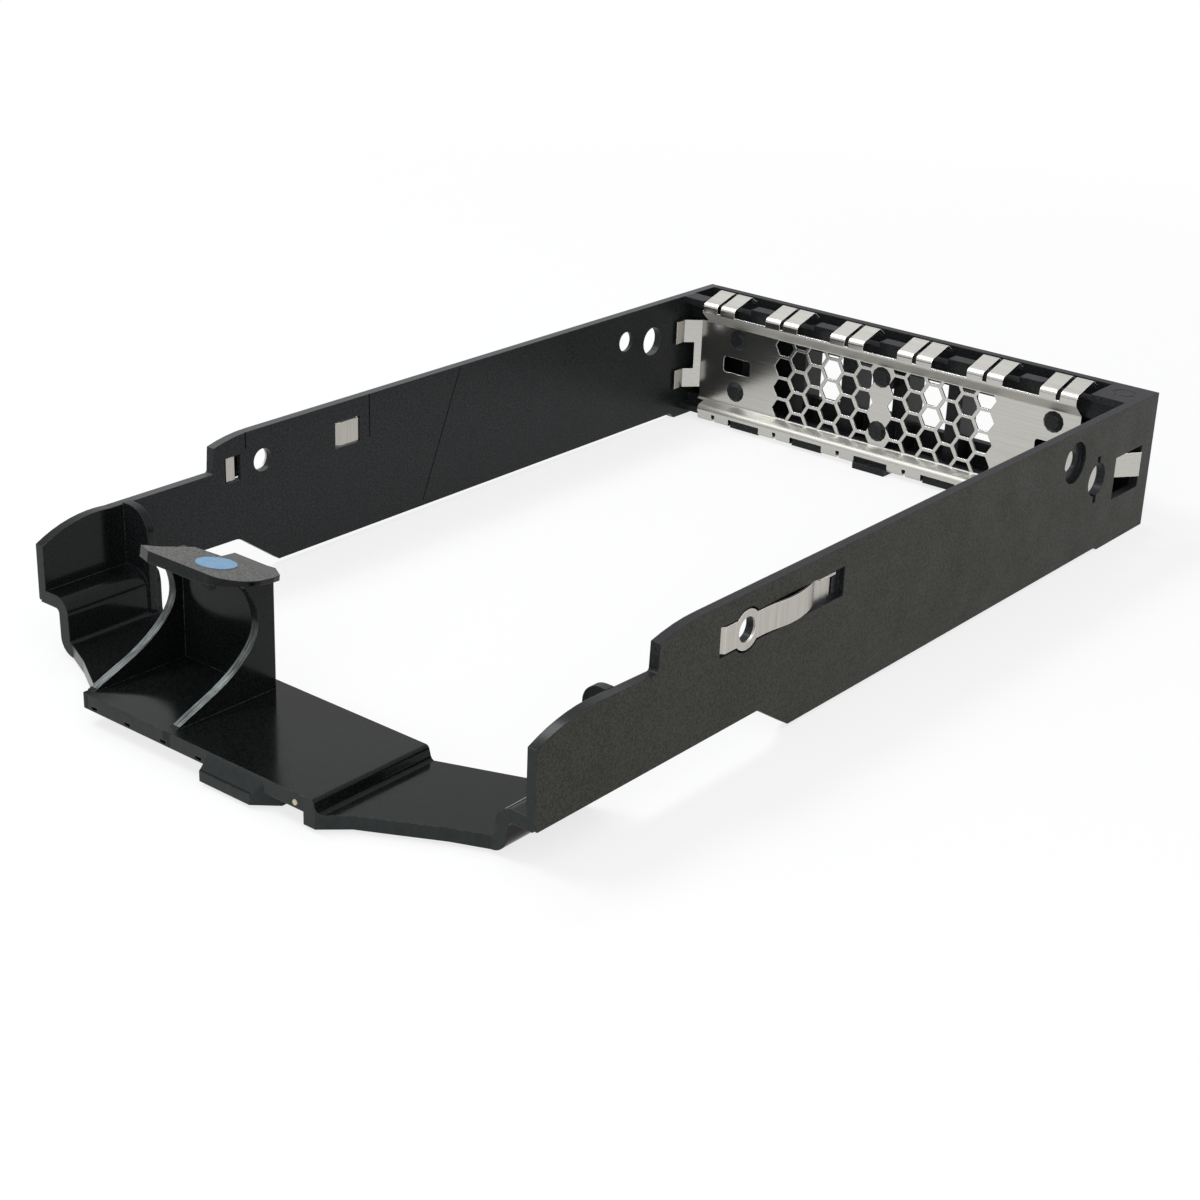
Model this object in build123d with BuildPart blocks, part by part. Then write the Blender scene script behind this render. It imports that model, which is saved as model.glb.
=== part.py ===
from build123d import *
import os
from math import cos, radians, sin, tan

os.makedirs("parts", exist_ok=True)

# Carrier for a 3.5 inch drive. X runs across, Y from the handle to the far end, Z up.
# While the pieces are drawn, Y is 0 at the near ends of the walls and Z is 0 at their underside.

# Driving dimensions, millimetres
drive_width = 101.6
drive_clearance = 0.35
wall = 1.75
length = 181.0
height = 26.2
foot_drop = 0.6
foot_length = 18.5
left_foot_length = 14.0
front_hole_y = 47.4
hole_pitch = 101.6
hole_z = 20.2
screw_hole = 4.2
sheet = 0.4
fit_gap = 0.1

inner = drive_width / 2 + drive_clearance
outer = inner + wall
rear_hole_y = front_hole_y + hole_pitch

# Walls beside the handle: lower than the rest, and cut away below
right_under = 5.4
right_under_end = 51.6
left_under = 7.7
left_under_end = 41.5
left_rise = 0.6
under_slope = 8.6
near_top = 20.4
crown_y = 14.0
crown = 0.3
right_riser = 25.9
left_riser = 36.0

# Handle plate
floor = 2.2
plate_left = -27.0
plate_right = 23.2
plate_near = -12.6
plate_far = 10.7
plate_top = 4.4
plate_under = 2.0
lip_left = 1.1
lip_right = 15.2
lip_reach = 14.0
step_back = 19.6
step_inset = 4.3
step_radius = 1.9
web_front = 16.5
web = 1.5
web_top = 20.7

# Finger scoop and its roof tab
rib = 1.5
right_rib = -8.3
scoop_wall_front = 6.8
scoop_back = 8.55
tab_tilt = 10.0
tab_near = -2.3
tab_near_top = 25.6
tab_thick = 1.8
tab_taper = 1.2
hook_drop = 0.6
dot_d = 6.3
dot_thick = 0.12

# Far end: screen sheet, then the plastic frame behind it
screen_front = length - 10.0
screen_back = screen_front + sheet
screen_gap = 3.55
screen_half = inner - screen_gap
fold_low = 3.9
fold_high = 21.3
fold_reach = 2.65
post_neck = 2.6
post_head = 4.4
head_height = 0.8
post_z = (7.3, 18.8)
post_x = (-38.1, -2.3, 36.7)
slot_z = 12.95
window_low = 7.6
window_high = 18.6
rear_rib = 3.4
rear_pitch = 12.6
rear_middle = 0.3
rib_front = screen_back + 3.3
block_pitch = 16.0
finger_pair = 8.0
finger_rise = 1.2
slit = 0.9
finger_middle = -1.6
fold_left = -45.8
fold_right = 42.4
corner_cut = 18.4
right_block = 43.9
left_block = -45.9

# Honeycomb
hex_flats = 3.95
hex_rows = 4.57
hex_step = 4.0
hex_middle = -2.2
hex_top = 19.9

# Sprung strip in each wall
clip_width = 4.3
clip_ring = 6.5
clip_bow = 0.6
hook_start = 38.6
hook_end = 42.2
recess_depth = 1.0
recess_width = 5.0
recess_start = 40.6
recess_end = 73.2
slot_start = 65.0
slot_end = 71.2


def corner(sketch, x, y):
    """The sketch's corner nearest to a point on its plane."""
    return sketch.vertices().sort_by_distance((x, y))[0]


def tab_under(y):
    """Height of the roof tab's underside at a place along Y."""
    return tab_near_top - (y - tab_near) * tan(radians(tab_tilt)) - tab_thick / cos(radians(tab_tilt))


# The walls, drawn side on
with BuildPart() as walls:
    with BuildSketch(Plane.YZ.offset(inner)) as right_side:
        with BuildLine():
            Line((0, right_under), (0, near_top - 2.4))
            ThreePointArc((0, near_top - 2.4), (6.4, near_top - 0.3), (crown_y, near_top + crown))
            Polyline(
                (crown_y, near_top + crown),
                (right_riser, near_top),
                (right_riser + 0.2, height - 1.3),
            )
            ThreePointArc(
                (right_riser + 0.2, height - 1.3),
                (right_riser + 4.1, height - 0.47),
                (right_riser + 10.1, height),
            )
            Polyline(
                (right_riser + 10.1, height),
                (length, height),
                (length, -foot_drop),
                (length - foot_length, -foot_drop),
                (length - foot_length - 0.6, 0),
                (right_under_end + under_slope, 0),
                (right_under_end, right_under),
                (0, right_under),
            )
        make_face()
        fillet(corner(right_side, 0, right_under), 0.6)
        fillet(corner(right_side, right_riser, near_top), 0.5)
        fillet(corner(right_side, right_under_end, right_under), 1.2)
    extrude(amount=wall)
    with BuildSketch(Plane.YZ.offset(-outer)) as left_side:
        with BuildLine():
            Line((0, left_under), (0, near_top - 2.8))
            ThreePointArc((0, near_top - 2.8), (6.4, near_top - 0.4), (crown_y, near_top))
            Polyline((crown_y, near_top), (left_riser, near_top), (left_riser + 0.3, height - 1.2))
            ThreePointArc(
                (left_riser + 0.3, height - 1.2),
                (left_riser + 3.6, height - 0.46),
                (left_riser + 9.0, height),
            )
            Polyline(
                (left_riser + 9.0, height),
                (length, height),
                (length, -foot_drop),
                (length - left_foot_length, -foot_drop),
                (length - left_foot_length - 1.4, left_rise),
                (left_under_end + under_slope + 0.6, left_rise),
                (left_under_end, left_under - 0.6),
                (0, left_under),
            )
        make_face()
        fillet(corner(left_side, 0, left_under), 0.6)
        fillet(corner(left_side, left_riser, near_top), 0.5)
        fillet(corner(left_side, left_under_end, left_under - 0.6), 3.0)
    extrude(amount=wall)

# Handle: a low plate whose sides rise in an S to the walls' underside, with a raised middle
with BuildPart() as handle:
    with BuildSketch(Plane.XZ.offset(-plate_near)) as cross_section:
        with BuildLine():
            FilletPolyline(
                (-outer + 0.5, left_under + floor / 2),
                (-inner + step_inset - 0.1, left_under + floor / 2),
                (-inner + step_inset + 0.1, floor / 2),
                (inner - step_inset - 0.1, floor / 2),
                (inner - step_inset + 0.1, right_under + floor / 2),
                (outer - 0.5, right_under + floor / 2),
                radius=step_radius,
            )
        trace(line_width=floor)
    extrude(amount=plate_near - step_back)
    with BuildSketch(Plane.XZ.offset(-plate_near)) as raised:
        with BuildLine():
            FilletPolyline(
                (plate_left, plate_under),
                (plate_left, plate_top),
                (plate_right, plate_top),
                (plate_right + 0.6, floor),
                (plate_right + 3.0, floor - 0.1),
                radius=(0.3, 0.8, 1.0),
            )
            Polyline((plate_right + 3.0, floor - 0.1), (plate_right + 3.0, plate_under - 0.6),
                     (plate_left, plate_under - 0.6), (plate_left, plate_under))
        make_face()
    extrude(amount=plate_near - plate_far)
    # seen from above: the near edge slopes back to the walls, the far edge bends round the middle
    with BuildSketch(Plane.XY) as plan:
        with BuildLine():
            Polyline(
                (-outer, 0),
                (-45.0, 0),
                (-39.4, -2.4),
                (plate_left - 5.1, -6.4),
                (plate_left, -9.2),
                (plate_left, plate_near),
                (plate_right + 0.3, plate_near),
                (plate_right + 4.1, -9.0),
                (plate_right + 8.9, -6.4),
                (39.4, -2.4),
                (45.0, 0),
                (outer, 0),
                (outer, step_back),
                (inner - 4.5, step_back),
                (37.3, 15.8),
                (24.1, plate_far),
                (-24.1, plate_far),
                (-37.3, 15.8),
                (-inner + 4.5, step_back),
                (-outer, step_back),
                close=True,
            )
        make_face()
        fillet(corner(plan, plate_left, plate_near), 0.8)
    extrude(amount=height, mode=Mode.INTERSECT)
    # the middle is hollow under its raised top
    with BuildSketch(Plane.XY) as hollow:
        with Locations(((plate_left + plate_right) / 2, -3.0)):
            Rectangle(plate_right - plate_left - 4, 22.4)
        with Locations((plate_left, plate_near)):
            Rectangle(8.0, 6.8)
    extrude(amount=plate_under, mode=Mode.SUBTRACT)

# Lip under the near edge, with a hollow face above its rim
with BuildPart() as lip:
    with BuildSketch(Plane.YZ.offset(lip_left)) as lip_section:
        with BuildLine():
            Polyline((-10.2, plate_top - 0.4), (-10.2, 0), (-lip_reach, 0), (-lip_reach, 1.7))
            ThreePointArc((-lip_reach, 1.7), (plate_near - 0.5, 2.7), (plate_near, plate_top - 0.4))
            Line((plate_near, plate_top - 0.4), (-10.2, plate_top - 0.4))
        make_face()
    extrude(amount=lip_right - lip_left)
    with BuildSketch(Plane.XY) as lip_plan:
        with BuildLine():
            Polyline(
                (lip_left, -10.2),
                (lip_left, -lip_reach),
                (lip_right - 3.6, -lip_reach),
                (lip_right, -lip_reach + 3),
                (lip_right, -10.2),
                close=True,
            )
        make_face()
    extrude(amount=plate_top, mode=Mode.INTERSECT)

# Tilted roof tab over the scoop, with a small hook below its near edge
tab_plane = Plane(
    origin=(0, tab_near, tab_near_top),
    x_dir=(1, 0, 0),
    z_dir=(0, sin(radians(tab_tilt)), cos(radians(tab_tilt))),
)
with BuildPart() as roof:
    with BuildSketch(tab_plane) as tab_plan:
        with BuildLine():
            Polyline((-4.1, 6.0), (-4.5, 9.0), (-5.1, 10.8), (-8.2, 12.8), (-9.8, 12.5), (-17.0, 12.6),
                     (-16.4, 9.4), (-21.8, 8.8), (-24.1, 3.7), (-25.9, 1.6), (-22.9, 0.5), (-10.4, 0.6))
            ThreePointArc((-10.4, 0.6), (-6.0, 1.9), (-4.1, 6.0))
        make_face()
    extrude(amount=-tab_thick)
    # the underside rises towards the right end
    with BuildSketch(Plane(origin=tab_plane.origin, x_dir=(1, 0, 0), z_dir=tab_plane.y_dir)) as wedge:
        with BuildLine():
            Polyline(
                (-12.0, tab_thick),
                (-3.0, tab_thick - tab_taper),
                (-3.0, tab_thick + 0.1),
                (-12.0, tab_thick + 0.1),
                close=True,
            )
        make_face()
    extrude(amount=15.0, both=True, mode=Mode.SUBTRACT)
    with BuildSketch(tab_plane.offset(-tab_thick + tab_taper)) as hook_plan:
        with Locations((-10.3, 1.4)):
            Rectangle(2.0, 1.4)
    extrude(amount=-tab_taper - hook_drop)

# Scoop: two ribs with a hollow near edge, and the wall between them
with BuildPart() as scoop:
    for rib_x, overlap in ((plate_left, 0.2), (right_rib, 0.9)):
        with BuildSketch(Plane.YZ.offset(rib_x)) as rib_side:
            with BuildLine():
                Spline(
                    (-11.3, plate_top),
                    (-2.8, 7.9),
                    (2.2, 11.0),
                    (5.2, 15.2),
                    (5.0, 18.5),
                    (2.8, tab_under(2.8) - 0.3),
                )
                Polyline((2.8, tab_under(2.8) - 0.3), (2.6, tab_under(2.6) + overlap),
                         (scoop_back, tab_under(scoop_back) + overlap), (scoop_back, 3.0), (-11.3, 3.0),
                         (-11.3, plate_top))
            make_face()
        extrude(amount=rib)
    with BuildSketch(Plane.XY.offset(plate_top - 0.6)) as scoop_wall:
        with Locations(((plate_left + right_rib + rib) / 2, (scoop_wall_front + scoop_back) / 2)):
            Rectangle(right_rib + rib - plate_left, scoop_back - scoop_wall_front)
    extrude(amount=tab_under(scoop_wall_front) + 0.1 - plate_top + 0.6)

# The moulding in one piece
with BuildPart() as frame:
    add(walls.part)
    add(handle.part)
    add(lip.part)
    add(scoop.part)
    add(roof.part)
    # upright webs that tie the handle's sides to the walls, each standing on the S
    for side, under, reach, bend in ((-1, left_under, 45.3, 4.5), (1, right_under, 46.9, 3.0)):
        with BuildSketch(Plane.XZ.offset(-web_front)) as web_side:
            with BuildLine():
                Polyline(
                    (side * reach, web_top - bend),
                    (side * reach, floor),
                    (side * (inner - step_inset + 0.6), floor),
                    (side * (inner - step_inset + 0.6), under + floor / 2),
                    (side * (inner + 0.8), under + floor / 2),
                    (side * (inner + 0.8), web_top - 0.6),
                    (side * inner, web_top),
                    (side * (reach + bend), web_top),
                )
                RadiusArc((side * reach, web_top - bend), (side * (reach + bend), web_top), side * bend)
            make_face()
        extrude(amount=-web)
    # small notches along the near edge, and the gate mark at its right end
    with BuildSketch(Plane.XZ.offset(-plate_near)) as notches:
        with Locations((-24.0, 2.55), (-16.4, 2.55), (-8.4, 2.55), (-0.6, 2.55)):
            Rectangle(1.3, 0.5)
    extrude(amount=-0.6, mode=Mode.SUBTRACT)
    with BuildSketch(Plane.XZ.offset(-plate_near)) as gate:
        with Locations((19.6, 2.9)):
            RegularPolygon(0.45, 8)
    extrude(amount=0.15)

    # rear wall with four open windows, and upright ribs on its front
    with BuildSketch(Plane.XZ.offset(-length)) as rear_wall:
        with Locations((0, height / 2)):
            Rectangle(2 * inner + 0.6, height)
        with Locations((rear_middle, (window_low + window_high) / 2)):
            with GridLocations(rear_pitch, 1, 4, 1):
                Rectangle(rear_pitch - rear_rib, window_high - window_low, mode=Mode.SUBTRACT)
    extrude(amount=wall)
    with BuildSketch(Plane.XZ.offset(wall - length - 0.1)) as rear_ribs:
        with Locations((rear_middle, height / 2 - 2.5)):
            with GridLocations(rear_pitch, 1, 7, 1):
                Rectangle(rear_rib, height - 7.4)
    extrude(amount=length - wall + 0.1 - rib_front)
    # top and bottom channels: a shelf, with a bar along its front edge
    with BuildSketch(Plane.YZ.offset(-inner - 0.5)) as channels:
        with BuildLine():
            Polyline(
                (length - wall + 0.5, height - 6.4),
                (screen_back + 2.2, height - 6.4),
                (screen_back + 2.2, height - 5.2),
                (screen_back + 0.6, height - 5.2),
                (screen_back + 0.6, height - 1.6),
                (screen_back + 3.6, height - 1.6),
                (screen_back + 3.6, height - 5.0),
                (length - wall + 0.5, height - 5.0),
                close=True,
            )
        make_face()
        with BuildLine():
            Polyline(
                (length - wall + 0.5, 1.0),
                (screen_front - fold_reach + 0.85, 1.0),
                (screen_front - fold_reach + 0.85, 2.2),
                (screen_back + 0.6, 2.2),
                (screen_back + 0.6, 4.0),
                (screen_back + 2.2, 4.0),
                (screen_back + 2.2, 2.8),
                (length - wall + 0.5, 2.8),
                close=True,
            )
        make_face()
    extrude(amount=2 * inner + 1.0)
    # raised blocks between the finger pairs, on the top bar and under the bottom shelf
    with BuildSketch(Plane.XY.offset(height - 2.2)) as top_blocks:
        with Locations((finger_middle, screen_back + 2.1)):
            with GridLocations(block_pitch, 1, 5, 1):
                Rectangle(5.0, 3.0)
    extrude(amount=1.7)
    with BuildSketch(Plane.XY.offset(0.1)) as bottom_blocks:
        with Locations((finger_middle, screen_front - fold_reach + 3.5)):
            with GridLocations(block_pitch, 1, 5, 1):
                Rectangle(block_pitch - finger_pair - 0.6, 6.3)
    extrude(amount=1.7)
    # corner blocks: the right one on a pillar, with a ring mark; the left one small
    with BuildSketch(Plane.XY.offset(height - 1.4)) as corner_blocks:
        with BuildLine():
            Polyline(
                (inner + 0.5, length - wall + 0.5),
                (right_block, length - wall + 0.5),
                (right_block, screen_back - 0.8),
                (inner + 0.5, screen_back - 0.9),
                close=True,
            )
        make_face()
        with BuildLine():
            Polyline(
                (-inner - 0.5, screen_front + 1.3),
                (left_block, screen_front + 1.3),
                (left_block, screen_front - 2.6),
                (-inner - 0.5, screen_front - 2.2),
                close=True,
            )
        make_face()
    extrude(amount=1.4)
    with BuildSketch(Plane.XY.offset(1.5)) as right_pillar:
        with Locations((right_block + 1.3, screen_back + 4.6)):
            Rectangle(2.6, 8.0)
    extrude(amount=height - 2.5)
    with BuildSketch(Plane.XY.offset(1.5)) as left_pillar:
        with Locations((left_block - 1.3, screen_back + 5.4)):
            Rectangle(2.2, 6.0)
    extrude(amount=height - 7.0)
    with BuildSketch(Plane.XY.offset(height)) as ring_mark:
        with Locations((48.2, length - 5.2)):
            Circle(2.2)
            Circle(1.9, mode=Mode.SUBTRACT)
    extrude(amount=-0.1, mode=Mode.SUBTRACT)
    # small catch at the middle of the bottom front edge
    with BuildSketch(Plane.XY.offset(-foot_drop)) as catch:
        with Locations((finger_middle, screen_front - 0.1)):
            Rectangle(block_pitch - finger_pair - 0.4, 6.6)
    extrude(amount=1.4)
    with BuildSketch(Plane.XY.offset(0)) as catch_root:
        with Locations((finger_middle, screen_back + 2.0)):
            Rectangle(5.0, 2.4)
    extrude(amount=1.6)

    # heat-stake posts: a boss behind the sheet, a neck through it and a spread head in front
    with BuildSketch(Plane.XZ.offset(-screen_back)) as bosses:
        for x in post_x:
            for z in post_z:
                with Locations((x, z)):
                    Rectangle(post_head, post_head)
    extrude(amount=-7.0)
    with BuildSketch(Plane.XZ.offset(-screen_back - 1.0)) as necks:
        for x in post_x:
            for z in post_z:
                with Locations((x, z)):
                    RegularPolygon(post_neck / 2, 8)
    extrude(amount=sheet + 1.5)
    with BuildSketch(Plane.XZ.offset(-screen_front)) as heads:
        for x in post_x:
            for z in post_z:
                with Locations((x, z)):
                    RegularPolygon(post_head / 2, 12)
    extrude(amount=head_height, taper=40)

    # both walls: screw holes and the seat of the sprung strip
    for side, window_start in ((-1, screen_front + 2.1), (1, screen_front - 5.0)):
        face_out = Plane(origin=(side * outer, 0, 0), x_dir=(0, side, 0), z_dir=(side, 0, 0))
        face_in = Plane(origin=(side * inner, 0, 0), x_dir=(0, side, 0), z_dir=(side, 0, 0))
        with BuildSketch(face_out) as recess:
            with Locations((side * (recess_start + recess_end) / 2, hole_z)):
                Rectangle(recess_end - recess_start, recess_width)
            with Locations((side * front_hole_y, hole_z)):
                Circle(clip_ring / 2 + 0.4)
        extrude(amount=-recess_depth, mode=Mode.SUBTRACT)
        # seat under the strip's ring
        with BuildSketch(face_in) as seat:
            with Locations((side * front_hole_y, hole_z)):
                Circle(clip_ring / 2)
        extrude(amount=wall - sheet)
        with BuildSketch(face_out) as openings:
            with Locations((side * (slot_start + slot_end) / 2, hole_z)):
                Rectangle(slot_end - slot_start, recess_width)
            with Locations((side * front_hole_y, hole_z)):
                Circle(screw_hole / 2)
            with Locations((side * rear_hole_y, hole_z)):
                Circle(screw_hole / 2)
        extrude(amount=-wall, mode=Mode.SUBTRACT)
        with BuildSketch(face_in) as hook_pocket:
            with Locations((side * (hook_start + hook_end) / 2, hole_z)):
                Rectangle(hook_end - hook_start, clip_width + 0.4)
        extrude(amount=wall - 0.75, mode=Mode.SUBTRACT)
        with BuildSketch(face_out) as counterbore:
            with Locations((side * rear_hole_y, hole_z)):
                Circle(7.9 / 2)
        extrude(amount=-recess_depth, mode=Mode.SUBTRACT)
        # side window for the screen's tongue
        with BuildSketch(face_out) as side_window:
            with Locations((side * (window_start + screen_front + 5.6) / 2, 12.6)):
                Rectangle(screen_front + 5.6 - window_start, 8.4)
        extrude(amount=-wall, mode=Mode.SUBTRACT)
    # right wall only: hole with a narrow notch above and below
    with BuildSketch(Plane.YZ.offset(inner)) as notched_hole:
        with Locations((length - 22.3, 14.4)):
            Circle(3.2)
            Rectangle(1.2, 9.2)
    extrude(amount=wall, mode=Mode.SUBTRACT)
    # left wall only: plain hole
    with BuildSketch(Plane.YZ.offset(-outer)) as plain_hole:
        with Locations((length - 22.9, 18.4)):
            Circle(3.0)
    extrude(amount=wall, mode=Mode.SUBTRACT)
    # left wall only: fine lines that the mould's inserts leave on the inner face
    with BuildSketch(Plane.YZ.offset(-inner)) as mould_lines:
        with BuildLine():
            Line((hook_end + 1.3, height), (hook_end + 1.3, hole_z + 3.0))
            Line((slot_end + 2.5, height), (slot_end + 2.5, hole_z - 2.2))
            Line((98.3, height), (88.0, 1.8))
        trace(line_width=0.16)
    extrude(amount=-0.08, mode=Mode.SUBTRACT)

# Stamped screen: flat panel, folded over the top and under the bottom
with BuildPart() as contact_screen:
    mid_y = screen_front + sheet / 2
    fold_front = screen_front - fold_reach
    with BuildSketch(Plane.YZ.offset(-screen_half)) as fold:
        with BuildLine():
            FilletPolyline(
                (screen_front + 5.2, height - 0.2),
                (screen_front + 3.3, height + finger_rise),
                (fold_front, height - 0.5),
                (fold_front, height - 2.3),
                (mid_y, fold_high),
                (mid_y, fold_low),
                (fold_front, 3.1),
                (fold_front, 0.5),
                (screen_front + 6.4, 0.5),
                radius=(0.5, 0.9, 0.5, 0.5, 0.5, 0.9, 0.45),
            )
        trace(line_width=sheet)
    extrude(amount=2 * screen_half)
    # both folds stop short of the panel's left end
    with BuildSketch(Plane.XZ.offset(-screen_front - 9.0)) as left_ends:
        with Locations((-screen_half, fold_high + 4.2), (-screen_half, fold_low - 4.2)):
            Rectangle(2 * (screen_half + fold_left), 8.4)
    extrude(amount=15.0, mode=Mode.SUBTRACT)
    # spaces between the finger pairs, and a slit down the middle of each pair
    with BuildSketch(Plane.XY.offset(height - 2.0)) as top_spaces:
        with Locations((finger_middle, screen_front + 3.0)):
            with GridLocations(block_pitch, 1, 7, 1):
                Rectangle(block_pitch - finger_pair, 14.0)
            with GridLocations(block_pitch, 1, 6, 1):
                Rectangle(slit, 14.0)
    extrude(amount=5.0, mode=Mode.SUBTRACT)
    with BuildSketch(Plane.XY.offset(-0.5)) as bottom_spaces:
        with Locations((finger_middle, screen_front + 3.0)):
            with GridLocations(block_pitch, 1, 7, 1):
                Rectangle(block_pitch - finger_pair, 14.0)
            with GridLocations(block_pitch, 1, 6, 1):
                Rectangle(slit, 14.0)
    extrude(amount=2.4, mode=Mode.SUBTRACT)
    # the right end stops short above, clear of the corner block
    with BuildSketch(Plane.XZ.offset(-screen_front - 9.0)) as top_corner:
        with Locations(((fold_right + screen_half) / 2 + 0.5, (corner_cut + height + 4.0) / 2)):
            Rectangle(screen_half - fold_right + 1.0, height - corner_cut + 4.0)
    extrude(amount=15.0, mode=Mode.SUBTRACT)
    # honeycomb, trimmed where the folds begin; its middle column is left for the middle posts
    with BuildSketch(Plane.XZ.offset(-screen_back - 0.3)) as honeycomb:
        for column in range(-6, 7):
            if column == 0:
                continue
            rows = 4 if column % 2 == 0 else 5
            top_row = hex_top if column % 2 == 0 else hex_top + hex_rows / 2
            for row in range(rows):
                with Locations((hex_middle + column * hex_step, top_row - row * hex_rows)):
                    RegularPolygon(hex_flats / 2, 6, major_radius=False)
        with Locations((0, (fold_low + fold_high) / 2)):
            Rectangle(2 * screen_half, fold_high - fold_low - 0.5, mode=Mode.INTERSECT)
        with Locations((post_x[0], slot_z), (post_x[2], slot_z)):
            RectangleRounded(6.9, 3.4, 0.6)
        for x in post_x:
            for z in post_z:
                with Locations((x, z)):
                    RegularPolygon(post_neck / 2 + fit_gap, 8)
    extrude(amount=sheet + 0.6, mode=Mode.SUBTRACT)
    # C-shaped tabs that lie along the walls, each with a tongue cut from its middle
    for side in (-1, 1):
        with BuildSketch(Plane.XY.offset(6.3)) as side_tab:
            with BuildLine():
                FilletPolyline(
                    (side * (screen_half - 0.6), mid_y),
                    (side * (screen_half + 0.2), mid_y),
                    (side * (inner - 0.6), screen_front - 2.7),
                    (side * (inner - 0.6), screen_front - 5.4),
                    radius=0.45,
                )
            trace(line_width=sheet)
        extrude(amount=14.9)
        with BuildSketch(Plane.XY.offset(10.4)) as notch:
            with Locations((side * (screen_half + 3.4), screen_front - 2.4)):
                Rectangle(4.4, 7.0)
        extrude(amount=5.9, mode=Mode.SUBTRACT)
        with BuildSketch(Plane.XY.offset(10.7)) as tongue:
            with BuildLine():
                Line((side * (screen_half + 1.1), screen_front - 0.8), (side * (outer + 0.2), screen_front + 5.2))
            trace(line_width=sheet)
        extrude(amount=4.8)

# Sprung strip: hooked in behind the wall at its near end, ring round the screw hole, bowed outwards
with BuildPart() as right_clip:
    ring_x = outer - sheet / 2
    hook_x = outer - recess_depth - sheet / 2
    end_x = outer - recess_depth - sheet
    with BuildSketch(Plane.XY.offset(hole_z - clip_width / 2)) as strip:
        with BuildLine():
            Polyline(
                (hook_x, hook_start + 0.6),
                (hook_x, hook_end - 1.2),
                (ring_x, hook_end - 0.2),
                (ring_x, front_hole_y + 4.0),
            )
            Spline(
                (ring_x, front_hole_y + 4.0),
                (ring_x + clip_bow, front_hole_y + 10.5),
                (end_x + 0.6, slot_start + 0.6),
                tangents=((0, 1), (-0.35, 1)),
            )
            Polyline(
                (end_x + 0.6, slot_start + 0.6),
                (end_x, slot_start + 1.6),
                (end_x, slot_end - 0.3),
            )
        trace(line_width=sheet)
    extrude(amount=clip_width)
    with BuildSketch(Plane.YZ.offset(ring_x - sheet / 2)) as ring:
        with Locations((front_hole_y, hole_z)):
            Circle(clip_ring / 2)
    extrude(amount=sheet)
    with BuildSketch(Plane.YZ.offset(ring_x - sheet)) as ring_hole:
        with Locations((front_hole_y, hole_z)):
            Circle(screw_hole / 2)
    extrude(amount=2 * sheet, mode=Mode.SUBTRACT)
    # flange along the top of the end section
    with BuildSketch(Plane.XY.offset(hole_z + clip_width / 2 - sheet)) as flange:
        with Locations((end_x + 0.5, (slot_start + 1.8 + slot_end - 0.3) / 2)):
            Rectangle(1.4, slot_end - 0.3 - slot_start - 1.8)
    extrude(amount=sheet)

with BuildPart() as left_clip:
    mirror(right_clip.part, about=Plane.YZ)

# Round mark on the roof tab
with BuildPart() as touch_dot:
    with BuildSketch(tab_plane) as dot:
        with Locations((-13.6, 5.8)):
            Circle(dot_d / 2)
    extrude(amount=dot_thick)

# The origin is at the middle of the length and width, level with the underside of the feet
home = Vector(0, (lip_reach - length) / 2, foot_drop)

frame.part.label = "frame"
frame.part.position = home
export_step(frame.part, "parts/frame.step")

contact_screen.part.label = "contact_screen"
contact_screen.part.position = home
export_step(contact_screen.part, "parts/contact_screen.step")

right_clip.part.label = "right_clip"
right_clip.part.position = home
export_step(right_clip.part, "parts/right_clip.step")

left_clip.part.label = "left_clip"
left_clip.part.position = home
export_step(left_clip.part, "parts/left_clip.step")

touch_dot.part.label = "touch_dot"
touch_dot.part.position = home
export_step(touch_dot.part, "parts/touch_dot.step")
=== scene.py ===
from types import SimpleNamespace

import bpy
from mathutils import Matrix, Vector


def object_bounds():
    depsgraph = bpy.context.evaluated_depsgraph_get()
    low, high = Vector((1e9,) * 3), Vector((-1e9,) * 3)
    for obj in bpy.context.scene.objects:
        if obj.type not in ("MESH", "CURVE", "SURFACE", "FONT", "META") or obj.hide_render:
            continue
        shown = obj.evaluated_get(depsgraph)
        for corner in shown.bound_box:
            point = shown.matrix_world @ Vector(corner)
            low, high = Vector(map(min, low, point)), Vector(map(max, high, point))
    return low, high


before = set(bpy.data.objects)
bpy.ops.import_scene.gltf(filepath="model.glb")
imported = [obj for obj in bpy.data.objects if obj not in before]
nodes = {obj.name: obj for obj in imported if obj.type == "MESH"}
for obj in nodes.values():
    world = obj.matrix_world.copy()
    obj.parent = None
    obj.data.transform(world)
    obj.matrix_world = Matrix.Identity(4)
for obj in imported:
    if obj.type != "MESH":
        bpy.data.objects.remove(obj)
cad_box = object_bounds()
scene = bpy.context.scene

MM = 0.001

# Places on the moulding, in the part's own frame
OUTER_FACE = 52.8 * MM
LEFT_INNER_FACE = -51.0 * MM
WALL_TOP = 26.8 * MM
HANDLE_FAR = -62.0 * MM
HANDLE_FADE = 8.0 * MM
SCOOP_WALL = -79.0 * MM
FRONT_TOP = 22.0 * MM
TAB_UNDER = 24.5 * MM
RIB_MIDDLES = (-26.25 * MM, -7.55 * MM)
RIB_HALF = 0.85 * MM
RIB_FOOT = 5.3 * MM
GATE = Vector((19.6, -96.15, 3.5)) * MM
GATE_RADIUS = 0.46 * MM

# Mould lines on the left inner wall: Y at the rim, Y at the foot, height of the foot
MOULD_LINES = (
    (-40.0 * MM, -40.0 * MM, 23.8 * MM),
    (-9.8 * MM, -9.8 * MM, 18.6 * MM),
    (14.8 * MM, 4.5 * MM, 2.4 * MM),
)
MOULD_LINE_HALF = 0.17 * MM
MOULD_LINE_DEEPEST = -51.6 * MM

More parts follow.
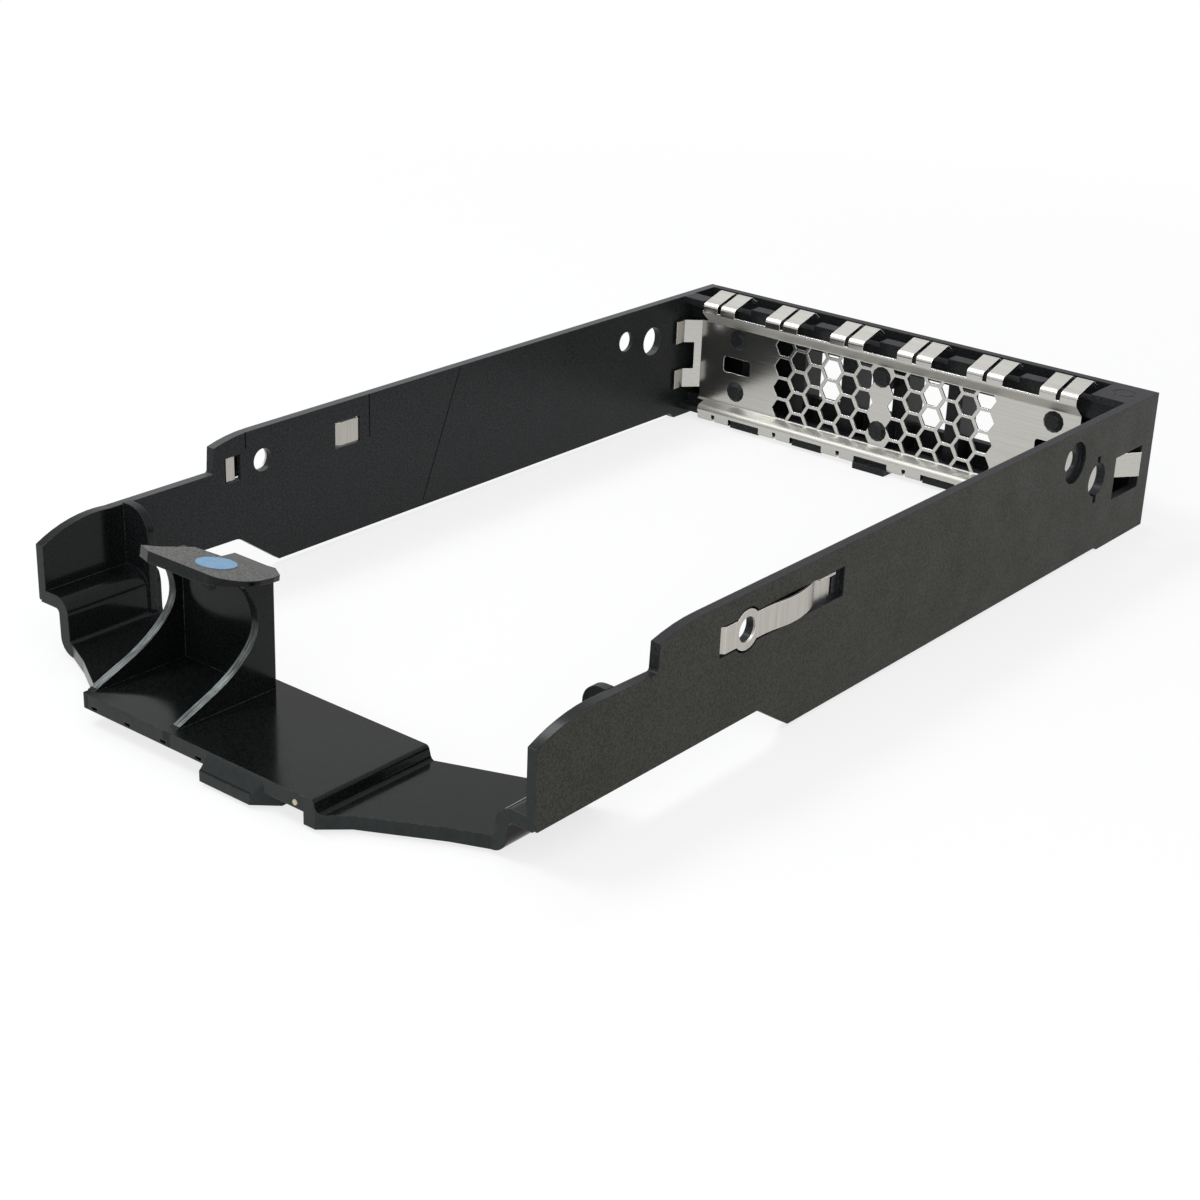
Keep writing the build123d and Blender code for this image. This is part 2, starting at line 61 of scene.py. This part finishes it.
# How much of a face's normal points one way, for the face to count as one that looks that way
SIDE_ON = 0.7
TOP_ON = 0.8
RIB_EDGE_NEARWARD = -0.15
RIB_EDGE_SIDEWAYS = 0.5

# Black moulding: darkest and palest colour of each region, then single colours
INSIDE = ((0.0065, 0.0074, 0.0082), (0.0200, 0.0225, 0.0240))
OUTSIDE = ((0.0120, 0.0120, 0.0088), (0.0370, 0.0365, 0.0290))
HANDLE = ((0.0026, 0.0030, 0.0032), (0.0080, 0.0092, 0.0092))
FRONT_FACE = ((0.010, 0.012, 0.012), (0.028, 0.033, 0.032))
RIM = ((0.010, 0.010, 0.013), (0.016, 0.016, 0.020))
# the left wall's rim paler than the right one's: painted sheen, a reflection of the light on that rim
LEFT_RIM_SHEEN = ((0.056, 0.058, 0.062), (0.080, 0.082, 0.087))
# the tab's top: a paler grey than the rest of the moulding
PALE_TAB_TOP = ((0.035, 0.035, 0.034), (0.150, 0.146, 0.138))
SPECK = (0.050, 0.050, 0.046)
# pale rounded edges: partly wear, partly painted highlight
EDGE_WEAR_AND_HIGHLIGHT = (0.062, 0.068, 0.068)
# pale rims of the ribs, palest where they face up: partly scratches, partly painted highlight
RIB_WEAR_AND_HIGHLIGHT = (0.33, 0.37, 0.36)
# mould lines darkened over a band wider than the groove: painted shade
GROOVE_SHADE = (0.001, 0.001, 0.001)
GATE_PALE = (0.50, 0.46, 0.30)

# Black moulding: lowest and highest roughness of each region, then single values
ROUGH_INSIDE = (0.26, 0.36)
ROUGH_HANDLE = (0.11, 0.19)
ROUGH_OUTSIDE = (0.42, 0.52)
ROUGH_TOPS = 0.50
ROUGH_WORN = 0.42
MOULDING_SPECULAR = 0.14
MOULDING_ROUNDING = 0.22 * MM
GRAIN_DEPTH = 0.05 * MM
GRAIN_INSIDE, GRAIN_HANDLE, GRAIN_OUTSIDE, GRAIN_TAB = 0.05, 0.012, 0.40, 0.50

# Stamped sheet: its stretch is the number of rolling lines per metre along each axis
SCREEN_SHEET = {
    "base": (0.50, 0.49, 0.455),
    "rough": (0.15, 0.20),
    "stretch": (40.0, 900.0, 2600.0),
    "contrast": 0.05,
}
CLIP_SHEET = {
    "base": (0.44, 0.42, 0.385),
    "rough": (0.30, 0.40),
    "stretch": (900.0, 3000.0, 90.0),
    "contrast": 0.14,
}
CUT_EDGE = (0.86, 0.87, 0.88)
SHEET_ROUNDING = 0.13 * MM
SHEET_GRAIN_DEPTH = 0.008 * MM
SHEET_GRAIN = 0.22
BENT_TILT = 0.2
BENT_ROUGHER = 0.12
BAND_ROUGHER = 0.24
LOW_FOLD = 6.0 * MM

# Printed mark
BLUE = ((0.115, 0.240, 0.39), (0.16, 0.31, 0.47))
BLUE_SPECK = (0.42, 0.55, 0.68)
ROUGH_BLUE = (0.40, 0.55)
BLUE_SPECULAR = 0.3

# Camera, fitted to the photograph's 1200 x 1200 frame
CAMERA_PLACE = Vector((219.40, -282.26, 152.92)) * MM
CAMERA_LENS = 65.986
SENSOR = 36.0
TURN_AXIS = Vector((1.87788535, 0.69434697, -0.40662253))

# Surroundings and lamps
WHITE = (1.0, 1.0, 1.0)
WORLD_LIGHT = 0.45
FLOOR_HALF = 6.0
FLOOR_GAP = 0.02 * MM
FLOOR_COLOUR = (0.93, 0.93, 0.93)
FLOOR_WHITE = 0.76
FLOOR_NEAR = 0.16
FLOOR_FAR = 0.42
LAMPS = {
    # name: (place, target, width, height, power, colour)
    "ceiling": ((-0.36, -0.20, 0.62), (0.0, 0.0, 0.0), 0.30, 0.22, 2.2, (0.93, 0.96, 1.0)),
    "broad": ((0.25, -0.25, 0.80), (0.0, 0.0, 0.0), 0.90, 0.90, 1.6, (1.0, 1.0, 1.0)),
    "front": ((0.25, -0.80, 0.35), (0.0, 0.0, 0.02), 0.80, 0.50, 1.8, (1.0, 1.0, 1.0)),
    "back": ((-0.36, 0.20, 0.60), (0.0, -0.05, 0.0), 0.30, 0.10, 0.6, (0.95, 0.97, 1.0)),
    "side": ((0.85, -0.10, 0.35), (0.0, 0.0, 0.02), 0.70, 0.50, 1.2, (1.0, 0.99, 0.96)),
}


class Nodes:
    """Short calls for the nodes of one shader tree. A value is a number, a colour or a socket."""

    def __init__(self, tree):
        self.tree = tree

    def add(self, kind, **settings):
        made = self.tree.nodes.new(kind)
        for key, value in settings.items():
            setattr(made, key, value)
        return made

    def feed(self, socket, value):
        if isinstance(value, bpy.types.NodeSocket):
            self.tree.links.new(value, socket)
        elif isinstance(value, tuple):
            socket.default_value = (*value, 1.0)
        else:
            socket.default_value = value

    def feed_all(self, node, values):
        """Feeds several inputs of a node, each by its name or index."""
        for key, value in values.items():
            self.feed(node.inputs[key], value)

    def math(self, operation, first, second=None):
        made = self.add("ShaderNodeMath", operation=operation)
        self.feed(made.inputs[0], first)
        if second is not None:
            self.feed(made.inputs[1], second)
        return made.outputs[0]

    def product(self, *factors):
        total = factors[0]
        for factor in factors[1:]:
            total = self.math("MULTIPLY", total, factor)
        return total

    def largest(self, *values):
        top = values[0]
        for value in values[1:]:
            top = self.math("MAXIMUM", top, value)
        return top

    def above(self, value, limit):
        return self.math("GREATER_THAN", value, limit)

    def below(self, value, limit):
        return self.math("LESS_THAN", value, limit)

    def near(self, value, middle, half):
        """1 where a value lies within a half width of a middle."""
        return self.below(self.math("ABSOLUTE", self.math("SUBTRACT", value, middle)), half)

    def rest(self, share):
        """What a share leaves of 1."""
        return self.math("SUBTRACT", 1.0, share)

    def remap(self, value, low, high, to_low=0.0, to_high=1.0):
        made = self.add("ShaderNodeMapRange")
        self.feed_all(made, {
            "Value": value,
            "From Min": low,
            "From Max": high,
            "To Min": to_low,
            "To Max": to_high,
        })
        return made.outputs["Result"]

    def axes(self, vector):
        made = self.add("ShaderNodeSeparateXYZ")
        self.feed(made.inputs[0], vector)
        return made.outputs

    def place_on_object(self):
        return self.add("ShaderNodeTexCoord").outputs["Object"]

    def facing(self):
        return self.add("ShaderNodeNewGeometry").outputs["Normal"]

    def colour_mix(self, share, first, second):
        made = self.add("ShaderNodeMix", data_type="RGBA")
        self.feed_all(made, {0: share, 6: first, 7: second})
        return made.outputs[2]

    def number_mix(self, share, first, second):
        made = self.add("ShaderNodeMix", data_type="FLOAT")
        self.feed_all(made, {0: share, 2: first, 3: second})
        return made.outputs[0]

    def background_share(self):
        """1 for what the camera sees, also in a reflection or through something clear."""
        rays = self.add("ShaderNodeLightPath").outputs
        return self.largest(
            rays["Is Camera Ray"],
            rays["Is Glossy Ray"],
            rays["Is Transmission Ray"],
        )


class Surface(Nodes):
    """A new material on the principled shader."""

    def __init__(self, name):
        self.material = bpy.data.materials.new(name)
        self.material.use_nodes = True
        super().__init__(self.material.node_tree)
        self.shader = self.tree.nodes["Principled BSDF"]
        self.place = self.place_on_object()

    def noise(self, scale, detail=2.0, rough=0.5, stretch=None):
        """Noise on the object's own coordinates; a stretch is given as cells per metre along each axis."""
        made = self.add("ShaderNodeTexNoise")
        vector = self.place
        if stretch is not None:
            mapping = self.add("ShaderNodeMapping")
            mapping.inputs["Scale"].default_value = stretch
            self.feed(mapping.inputs["Vector"], vector)
            vector = mapping.outputs["Vector"]
        self.feed_all(made, {"Scale": scale, "Detail": detail, "Roughness": rough, "Vector": vector})
        return made.outputs["Fac"]

    def rounded_edges(self, radius):
        """A rounded normal, and a mask that is 1 on the edges that it rounds."""
        rounding = self.add("ShaderNodeBevel", samples=6)
        rounding.inputs["Radius"].default_value = radius
        rounded = rounding.outputs["Normal"]
        agreement = self.add("ShaderNodeVectorMath", operation="DOT_PRODUCT")
        self.feed_all(agreement, {0: rounded, 1: self.facing()})
        return rounded, self.remap(agreement.outputs["Value"], 0.995, 0.90)

    def finish(self, colour, rough, height, normal, distance, strength):
        """Joins colour, roughness and bump to the shader."""
        bump = self.add("ShaderNodeBump")
        self.feed_all(bump, {"Distance": distance, "Strength": strength, "Height": height})
        if normal is not None:
            self.feed(bump.inputs["Normal"], normal)
        self.feed_all(self.shader, {
            "Base Color": colour,
            "Roughness": rough,
            "Normal": bump.outputs["Normal"],
        })
        return self.material


def moulding_regions(s):
    """Masks for the regions of the moulding, from each point's place and facing."""
    x, y, z = s.axes(s.place)
    face_x, face_y, face_z = s.axes(s.facing())
    sideways = s.math("ABSOLUTE", face_x)
    upward = s.above(face_z, TOP_ON)
    handle = s.remap(y, HANDLE_FAR, HANDLE_FAR - HANDLE_FADE)
    rim = s.product(upward, s.rest(handle))
    near_rib = s.largest(*(s.near(x, middle, RIB_HALF) for middle in RIB_MIDDLES))
    lines = []
    for rim_y, foot_y, foot_z in MOULD_LINES:
        slope = (rim_y - foot_y) / (WALL_TOP - foot_z)
        climb = s.math("MULTIPLY", s.math("SUBTRACT", z, foot_z), slope)
        line = s.near(y, s.math("ADD", climb, foot_y), MOULD_LINE_HALF)
        lines.append(s.product(line, s.above(z, foot_z)))
    gate = s.add("ShaderNodeVectorMath", operation="DISTANCE")
    s.feed(gate.inputs[0], s.place)
    gate.inputs[1].default_value = GATE
    return SimpleNamespace(
        handle=handle,
        rim=rim,
        # the left wall's rim, which gets the painted sheen
        left_rim_sheen=s.product(rim, s.below(x, LEFT_INNER_FACE)),
        outside=s.product(s.above(s.math("ABSOLUTE", x), OUTER_FACE), s.above(sideways, SIDE_ON)),
        tab=s.product(upward, handle, s.above(z, TAB_UNDER)),
        rib_edge=s.product(
            near_rib,
            handle,
            s.below(face_y, RIB_EDGE_NEARWARD),
            s.below(sideways, RIB_EDGE_SIDEWAYS),
            s.above(z, RIB_FOOT),
            s.below(z, TAB_UNDER),
        ),
        front_face=s.product(
            s.below(y, SCOOP_WALL),
            s.below(z, FRONT_TOP),
            s.below(face_y, -SIDE_ON),
            s.rest(near_rib),
        ),
        # mould lines on the left inner wall, darkened with painted shade
        groove_shade=s.product(
            s.largest(*lines),
            s.below(x, LEFT_INNER_FACE),
            s.above(x, MOULD_LINE_DEEPEST),
            s.above(face_x, SIDE_ON),
        ),
        gate=s.below(gate.outputs["Value"], GATE_RADIUS),
        # rib rims that face up get more of the painted highlight
        rib_upward_highlight=s.remap(face_z, -0.1, 0.85, 0.08, 1.0),
    )


def moulded_plastic():
    """Black moulding: grained outside and on top, glossy on the handle, worn and with a painted highlight
    at its edges and rib rims, with painted sheen on the left rim and painted shade in the mould lines.
    """
    s = Surface("moulded_black")
    on = moulding_regions(s)
    normal, edge = s.rounded_edges(MOULDING_ROUNDING)
    clouds = s.noise(60.0, 3.0)
    smears = s.noise(140.0, 4.0)
    patches = s.remap(s.noise(260.0, 2.0), 0.38, 0.62, 0.45, 1.0)
    scuffs = s.noise(900.0, 4.0, 0.7)
    specks = s.noise(2600.0, 1.0)
    grain = s.noise(3200.0, 2.0, 0.6)
    fine = s.remap(s.noise(3300.0, 1.0), 0.34, 0.68)
    streaks = s.noise(1.0, 3.0, 0.65, stretch=(5200.0, 260.0, 260.0))

    # colour: each region over the ones before it, then specks, wear with painted highlights, painted shade
    # and marks
    colour = s.colour_mix(fine, *INSIDE)
    for share, pattern, colours in (
        (on.handle, fine, HANDLE),
        (on.front_face, scuffs, FRONT_FACE),
        (on.outside, fine, OUTSIDE),
        (on.rim, clouds, RIM),
        # painted sheen on the left wall's rim
        (on.left_rim_sheen, clouds, LEFT_RIM_SHEEN),
        (on.tab, fine, PALE_TAB_TOP),
    ):
        colour = s.colour_mix(share, colour, s.colour_mix(pattern, *colours))
    speckled = s.product(s.remap(specks, 0.52, 0.74, 0.0, 0.40), s.remap(on.handle, 0.0, 1.0, 1.0, 0.15))
    # pale edges: wear together with a painted highlight along every rounded edge
    edge_wear_and_highlight = s.product(edge, s.remap(scuffs, 0.42, 0.66, 0.05, 0.80))
    # rib rims: scratches with a painted highlight, strongest where they face up
    rib_wear_and_highlight = s.product(on.rib_edge, on.rib_upward_highlight, patches, s.remap(streaks, 0.36, 0.64, 0.10, 0.95))
    for share, over in (
        (speckled, SPECK),
        (edge_wear_and_highlight, EDGE_WEAR_AND_HIGHLIGHT),
        (rib_wear_and_highlight, RIB_WEAR_AND_HIGHLIGHT),
        # painted shade in the mould lines
        (on.groove_shade, GROOVE_SHADE),
        (on.gate, GATE_PALE),
    ):
        colour = s.colour_mix(share, colour, over)

    inside, handle, outside = (
        s.remap(smears, 0.3, 0.7, *limits) for limits in (ROUGH_INSIDE, ROUGH_HANDLE, ROUGH_OUTSIDE)
    )
    rough = s.number_mix(on.handle, inside, handle)
    rough = s.number_mix(on.outside, rough, outside)
    rough = s.number_mix(s.largest(on.tab, on.rim), rough, ROUGH_TOPS)
    rough = s.number_mix(s.largest(edge_wear_and_highlight, rib_wear_and_highlight), rough, ROUGH_WORN)
    rough = s.largest(rough, on.groove_shade)
    s.shader.inputs["Specular IOR Level"].default_value = MOULDING_SPECULAR

    strength = s.largest(
        s.number_mix(on.handle, GRAIN_INSIDE, GRAIN_HANDLE),
        s.product(on.outside, GRAIN_OUTSIDE),
        s.product(on.tab, GRAIN_TAB),
    )
    return s.finish(colour, rough, grain, normal, GRAIN_DEPTH, strength)


def sheet_metal(name, base, rough, stretch, contrast):
    """Thin stainless sheet with fine rolling lines, faint smears and bright cut edges."""
    s = Surface(name)
    normal, edge = s.rounded_edges(SHEET_ROUNDING)
    lines = s.noise(1.0, 3.0, 0.6, stretch=stretch)
    smears = s.noise(90.0, 3.0)
    grain = s.noise(3600.0, 2.0)
    darker = tuple((1.0 - contrast) * value for value in base)
    lighter = tuple((1.0 + contrast) * value for value in base)
    colour = s.colour_mix(s.remap(smears, 0.3, 0.7), darker, base)
    colour = s.colour_mix(s.remap(lines, 0.35, 0.65), colour, lighter)
    colour = s.colour_mix(edge, colour, CUT_EDGE)
    s.shader.inputs["Metallic"].default_value = 1.0

    # bent parts are duller than the flat panel, most of all its two slanted bands
    face_z = s.axes(s.facing())[2]
    bent = s.above(s.math("ABSOLUTE", face_z), BENT_TILT)
    low_band = s.product(s.below(s.axes(s.place)[2], LOW_FOLD), s.above(face_z, BENT_TILT))
    band = s.largest(low_band, s.below(face_z, -BENT_TILT))
    dullness = s.remap(s.product(s.math("ADD", lines, smears), 0.5), 0.3, 0.7, *rough)
    dullness = s.math("ADD", dullness, s.product(bent, BENT_ROUGHER))
    dullness = s.math("ADD", dullness, s.product(band, BAND_ROUGHER))
    return s.finish(colour, dullness, grain, normal, SHEET_GRAIN_DEPTH, SHEET_GRAIN)


def printed_blue():
    """Light blue printed mark with a faint speckle."""
    s = Surface("blue_mark")
    clouds = s.noise(500.0, 3.0)
    specks = s.noise(3400.0, 2.0)
    colour = s.colour_mix(clouds, *BLUE)
    colour = s.colour_mix(s.remap(specks, 0.55, 0.75, 0.0, 0.5), colour, BLUE_SPECK)
    rough = s.remap(specks, 0.3, 0.7, *ROUGH_BLUE)
    s.shader.inputs["Specular IOR Level"].default_value = BLUE_SPECULAR
    return s.finish(colour, rough, clouds, None, 0.02 * MM, 0.2)


def dress(name, material):
    """Puts a material in every slot of a node."""
    for slot in nodes[name].material_slots:
        slot.material = material


def white_floor():
    """A plain white floor that keeps a soft shadow."""
    mesh = bpy.data.meshes.new("floor")
    corners = [(x * FLOOR_HALF, y * FLOOR_HALF, 0) for x, y in ((-1, -1), (1, -1), (1, 1), (-1, 1))]
    mesh.from_pydata(corners, [], [(0, 1, 2, 3)])
    floor = bpy.data.objects.new("floor", mesh)
    floor.location.z = cad_box[0][2] - FLOOR_GAP
    scene.collection.objects.link(floor)

    material = bpy.data.materials.new("floor_white")
    material.use_nodes = True
    material.node_tree.nodes.clear()
    n = Nodes(material.node_tree)
    lit = n.add("ShaderNodeBsdfDiffuse")
    n.feed(lit.inputs["Color"], FLOOR_COLOUR)
    plain = n.add("ShaderNodeEmission")
    n.feed(plain.inputs["Color"], WHITE)
    # near the object the floor is partly lit, so that its shadow shows; further out it is plain white
    reach = n.add("ShaderNodeVectorMath", operation="LENGTH")
    n.feed(reach.inputs[0], n.place_on_object())
    whiter = n.remap(reach.outputs["Value"], FLOOR_NEAR, FLOOR_FAR, FLOOR_WHITE, 1.0)
    mix = n.add("ShaderNodeMixShader")
    n.feed_all(mix, {
        0: n.product(n.background_share(), whiter),
        1: lit.outputs[0],
        2: plain.outputs[0],
    })
    n.feed(n.add("ShaderNodeOutputMaterial").inputs["Surface"], mix.outputs[0])
    mesh.materials.append(material)


def white_world():
    """A plain surrounding: soft light on the object, white where it is seen."""
    world = bpy.data.worlds.new("studio")
    scene.world = world
    world.use_nodes = True
    n = Nodes(world.node_tree)
    strength = n.remap(n.background_share(), 0.0, 1.0, WORLD_LIGHT, 1.0)
    n.feed_all(world.node_tree.nodes["Background"], {"Color": WHITE, "Strength": strength})


def area_light(name, place, target, width, height, power, colour):
    """A soft area light at a place, turned to a target."""
    data = bpy.data.lights.new(name, "AREA")
    data.shape = "RECTANGLE"
    data.size = width
    data.size_y = height
    data.energy = power
    data.color = colour
    light = bpy.data.objects.new(name, data)
    light.visible_camera = False
    scene.collection.objects.link(light)
    light.location = place
    light.rotation_euler = (Vector(target) - Vector(place)).to_track_quat("-Z", "Y").to_euler()


def make_camera():
    """The photograph's camera: its place, its turn and its lens."""
    data = bpy.data.cameras.new("camera")
    data.lens = CAMERA_LENS
    data.sensor_width = SENSOR
    data.clip_start = 0.01
    data.clip_end = 20.0
    camera = bpy.data.objects.new("camera", data)
    scene.collection.objects.link(camera)
    turn = Matrix.Rotation(TURN_AXIS.length, 3, TURN_AXIS.normalized())
    right, down, forward = turn
    columns = Matrix((right, -down, -forward)).transposed()
    camera.matrix_world = Matrix.Translation(CAMERA_PLACE) @ columns.to_4x4()
    scene.camera = camera


scene.view_settings.view_transform = "Standard"

dress("frame", moulded_plastic())
dress("contact_screen", sheet_metal("screen_sheet", **SCREEN_SHEET))
clip_metal = sheet_metal("clip_sheet", **CLIP_SHEET)
dress("right_clip", clip_metal)
dress("left_clip", clip_metal)
dress("touch_dot", printed_blue())

white_floor()
white_world()
for lamp, settings in LAMPS.items():
    area_light(lamp, *settings)
make_camera()
